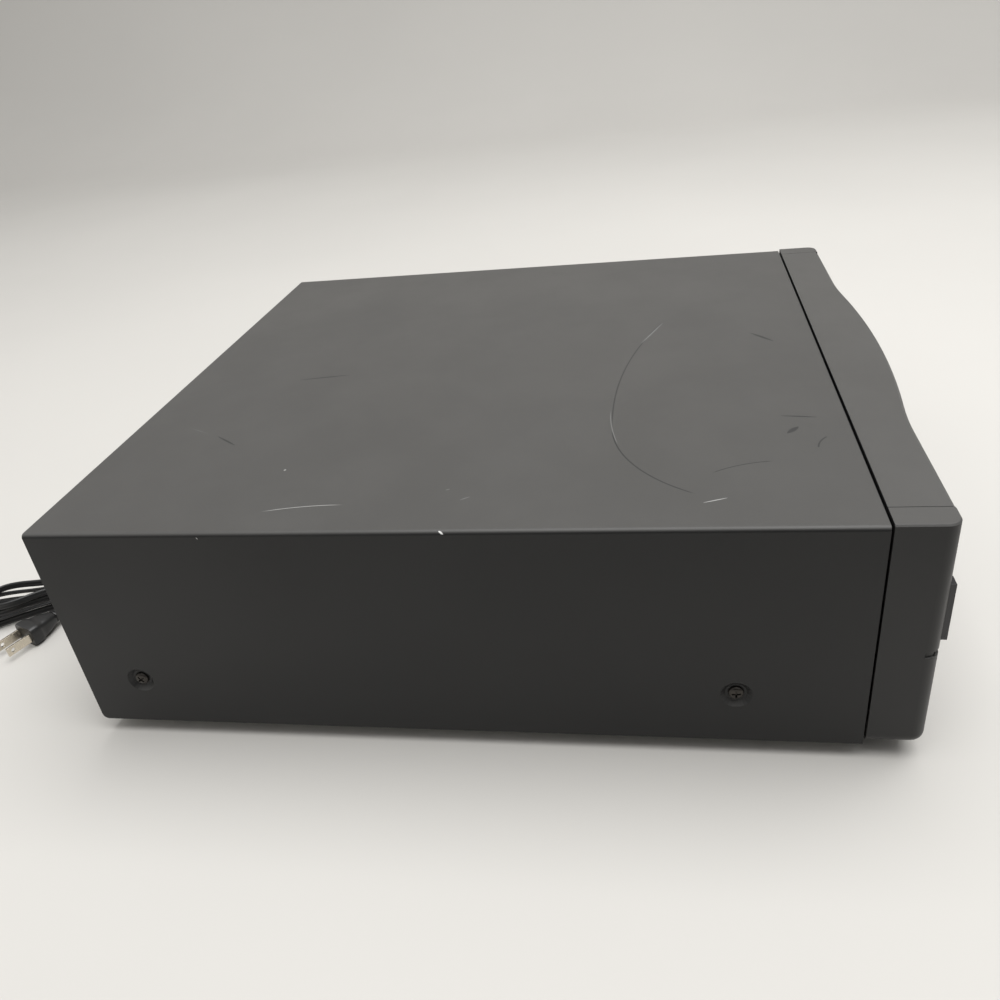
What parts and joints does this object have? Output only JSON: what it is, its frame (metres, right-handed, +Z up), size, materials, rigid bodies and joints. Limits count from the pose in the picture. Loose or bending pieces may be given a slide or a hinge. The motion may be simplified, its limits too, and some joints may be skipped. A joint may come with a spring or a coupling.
{
  "type": "multi disc CD changer",
  "caption": "Full width black home CD changer with a front disc drawer, waved front, lift mechanism, and a tied power lead with plug.",
  "frame": {"origin": "centre of the case's outline on the floor, under the feet", "axes": "+X to the right seen from the front, +Y from front to rear, +Z up"},
  "size_m": [0.43, 0.6535, 0.141],
  "materials": {
    "cover_paint": "satin black paint with a fine texture",
    "zinc_steel": "zinc plated",
    "foot_plastic": "matt",
    "screw_black": "black oxide",
    "front_plastic": "fine satin",
    "window_plastic": "dark gloss",
    "key_plastic": "satin gloss",
    "display_glass": "dark glass",
    "board_green": "solder mask",
    "jack_black": "gloss",
    "tray_plastic": "matt",
    "gear_white": "natural acetal",
    "motor_steel": "plated",
    "brass_gear": "machined",
    "belt_rubber": "matt",
    "frame_plastic": "matt",
    "lift_plastic": "matt",
    "rod_steel": "ground",
    "lens_glass": "clear",
    "hub_plastic": "matt",
    "core_steel": "varnished laminations",
    "cord_plastic": "satin vinyl",
    "blade_brass": "nickel plated"
  },
  "bodies": {
    "case": {"top_cover": "cover_paint", "bottom_chassis": "zinc_steel", "rear_panel": "zinc_steel", "front_panel": "front_plastic", "display_window": "window_plastic", "display_module": "display_glass", "feet": "foot_plastic", "cover_screws": "screw_black", "control_board": "board_green", "phones_jack": "jack_black", "mech_frame": "frame_plastic", "loading_motor": "motor_steel", "loading_belt": "belt_rubber", "clamp_bridge": "zinc_steel", "main_board": "board_green", "power_transformer": "core_steel", "output_jacks": "jack_black", "cord_bushing": "cord_plastic", "power_lead": "cord_plastic", "power_hank": "cord_plastic", "hank_tie": "cord_plastic", "plug_lead": "cord_plastic", "plug_body": "cord_plastic", "plug_blades": "blade_brass"},
    "drawer": {"drawer_front": "front_plastic", "drawer_tray": "tray_plastic", "carousel_cap": "tray_plastic", "carousel_motor": "motor_steel"},
    "carousel": {"carousel": "tray_plastic"},
    "carousel_drive": {"carousel_drive_gear": "gear_white"},
    "carousel_pinion": {"carousel_motor_pinion": "brass_gear"},
    "loading_gear": {"loading_gear": "gear_white"},
    "pulley_gear": {"pulley_gear": "gear_white"},
    "motor_pulley": {"motor_pulley": "gear_white"},
    "lift": {"lift_chassis": "lift_plastic", "spindle_motor": "motor_steel", "guide_rods": "rod_steel", "sled_motor": "motor_steel"},
    "hub": {"spindle_hub": "hub_plastic"},
    "pickup": {"optical_pickup": "lift_plastic", "objective_lens": "lens_glass"},
    "sled_gear": {"sled_gear": "gear_white"},
    "sled_pinion": {"sled_motor_pinion": "brass_gear"},
    "cam_slider": {"cam_slider": "gear_white"},
    "cam_gear": {"cam_gear": "gear_white"},
    "clamper": {"clamper": "hub_plastic"},
    "knob": {"level_knob": "key_plastic"},
    "play_button": {"play_button": "key_plastic"},
    "pause_button": {"pause_button": "key_plastic"},
    "stop_button": {"stop_button": "key_plastic"},
    "skip_back_button": {"skip_back_button": "key_plastic"},
    "skip_forward_button": {"skip_forward_button": "key_plastic"},
    "disc_skip_button": {"disc_skip_button": "key_plastic"},
    "disc_button_1": {"disc_button_1": "key_plastic"},
    "disc_button_2": {"disc_button_2": "key_plastic"},
    "disc_button_3": {"disc_button_3": "key_plastic"},
    "disc_button_4": {"disc_button_4": "key_plastic"},
    "disc_button_5": {"disc_button_5": "key_plastic"},
    "power_button": {"power_button": "key_plastic"},
    "open_close_button": {"open_close_button": "key_plastic"}
  },
  "joints": [
    {"name": "drawer_slide", "type": "slide", "parent": "case", "child": "drawer", "axis": [0, -1, 0], "range_m": [0, 0.24]},
    {"name": "loading_gear_spin", "type": "hinge", "parent": "case", "child": "loading_gear", "pos_m": [-0.1718, -0.1542, 0.07], "axis": [0, 0, 1], "range_deg": [0, 925]},
    {"name": "pulley_gear_spin", "type": "hinge", "parent": "case", "child": "pulley_gear", "pos_m": [-0.1358, -0.1542, 0.066], "axis": [0, 0, 1], "range_deg": [-2760, 0]},
    {"name": "motor_pulley_spin", "type": "hinge", "parent": "case", "child": "motor_pulley", "pos_m": [-0.0878, -0.1542, 0.064], "axis": [0, 0, 1], "range_deg": [-11098, 0]},
    {"name": "carousel_spin", "type": "hinge", "parent": "drawer", "child": "carousel", "pos_m": [0, -0.0302, 0.1], "axis": [0, 0, 1], "continuous": true},
    {"name": "carousel_drive_spin", "type": "hinge", "parent": "drawer", "child": "carousel_drive", "pos_m": [-0.03535, -0.06556, 0.09], "axis": [0, 0, 1], "continuous": true},
    {"name": "carousel_pinion_spin", "type": "hinge", "parent": "drawer", "child": "carousel_pinion", "pos_m": [-0.05303, -0.08323, 0.088], "axis": [0, 0, 1], "continuous": true},
    {"name": "lift_slide", "type": "slide", "parent": "case", "child": "lift", "axis": [0, 0, 1], "range_m": [0, 0.012]},
    {"name": "cam_slide", "type": "slide", "parent": "case", "child": "cam_slider", "axis": [1, 0, 0], "range_m": [0, 0.02]},
    {"name": "cam_gear_spin", "type": "hinge", "parent": "case", "child": "cam_gear", "pos_m": [0, 0.0257, 0.064], "axis": [0, 0, 1], "range_deg": [-80, 0]},
    {"name": "disc_spin", "type": "hinge", "parent": "lift", "child": "hub", "pos_m": [0, 0.0743, 0.093], "axis": [0, 0, 1], "continuous": true},
    {"name": "pickup_slide", "type": "slide", "parent": "lift", "child": "pickup", "axis": [0, 1, 0], "range_m": [0, 0.034]},
    {"name": "sled_gear_spin", "type": "hinge", "parent": "lift", "child": "sled_gear", "pos_m": [-0.032, 0.1133, 0.072], "axis": [0, 0, 1], "range_deg": [0, 280]},
    {"name": "sled_pinion_spin", "type": "hinge", "parent": "lift", "child": "sled_pinion", "pos_m": [-0.04544, 0.12673, 0.072], "axis": [0, 0, 1], "range_deg": [-785, 0]},
    {"name": "clamper_spin", "type": "hinge", "parent": "case", "child": "clamper", "pos_m": [0, 0.0743, 0.115], "axis": [0, 0, 1], "continuous": true},
    {"name": "level_knob_turn", "type": "hinge", "parent": "case", "child": "knob", "pos_m": [-0.15, -0.225, 0.028], "axis": [0, 1, 0], "range_deg": [-150, 150]},
    {"name": "play_button_press", "type": "slide", "parent": "case", "child": "play_button", "axis": [0, 1, 0], "range_m": [0, 0.001], "stiffness_N_per_m": 300},
    {"name": "pause_button_press", "type": "slide", "parent": "case", "child": "pause_button", "axis": [0, 1, 0], "range_m": [0, 0.001], "stiffness_N_per_m": 300},
    {"name": "stop_button_press", "type": "slide", "parent": "case", "child": "stop_button", "axis": [0, 1, 0], "range_m": [0, 0.001], "stiffness_N_per_m": 300},
    {"name": "skip_back_button_press", "type": "slide", "parent": "case", "child": "skip_back_button", "axis": [0, 1, 0], "range_m": [0, 0.001], "stiffness_N_per_m": 300},
    {"name": "skip_forward_button_press", "type": "slide", "parent": "case", "child": "skip_forward_button", "axis": [0, 1, 0], "range_m": [0, 0.001], "stiffness_N_per_m": 300},
    {"name": "disc_skip_button_press", "type": "slide", "parent": "case", "child": "disc_skip_button", "axis": [0, 1, 0], "range_m": [0, 0.001], "stiffness_N_per_m": 300},
    {"name": "disc_button_1_press", "type": "slide", "parent": "case", "child": "disc_button_1", "axis": [0, 1, 0], "range_m": [0, 0.001], "stiffness_N_per_m": 300},
    {"name": "disc_button_2_press", "type": "slide", "parent": "case", "child": "disc_button_2", "axis": [0, 1, 0], "range_m": [0, 0.001], "stiffness_N_per_m": 300},
    {"name": "disc_button_3_press", "type": "slide", "parent": "case", "child": "disc_button_3", "axis": [0, 1, 0], "range_m": [0, 0.001], "stiffness_N_per_m": 300},
    {"name": "disc_button_4_press", "type": "slide", "parent": "case", "child": "disc_button_4", "axis": [0, 1, 0], "range_m": [0, 0.001], "stiffness_N_per_m": 300},
    {"name": "disc_button_5_press", "type": "slide", "parent": "case", "child": "disc_button_5", "axis": [0, 1, 0], "range_m": [0, 0.001], "stiffness_N_per_m": 300},
    {"name": "power_button_press", "type": "slide", "parent": "case", "child": "power_button", "axis": [0, 1, 0], "range_m": [0, 0.001], "stiffness_N_per_m": 300},
    {"name": "open_close_button_press", "type": "slide", "parent": "case", "child": "open_close_button", "axis": [0, 1, 0], "range_m": [0, 0.001], "stiffness_N_per_m": 300}
  ],
  "couplings": [
    {"joint": "loading_gear_spin", "follows": "drawer_slide", "rad_per_m": 66.667},
    {"joint": "pulley_gear_spin", "follows": "drawer_slide", "rad_per_m": -200},
    {"joint": "motor_pulley_spin", "follows": "drawer_slide", "rad_per_m": -806.32},
    {"joint": "carousel_drive_spin", "follows": "carousel_spin", "ratio": -3.1667},
    {"joint": "carousel_pinion_spin", "follows": "carousel_spin", "ratio": 9.5},
    {"joint": "cam_slide", "follows": "lift_slide", "ratio": 1.6667},
    {"joint": "cam_gear_spin", "follows": "lift_slide", "rad_per_m": -111.11},
    {"joint": "sled_gear_spin", "follows": "pickup_slide", "rad_per_m": 142.86},
    {"joint": "sled_pinion_spin", "follows": "pickup_slide", "rad_per_m": -400}
  ]
}
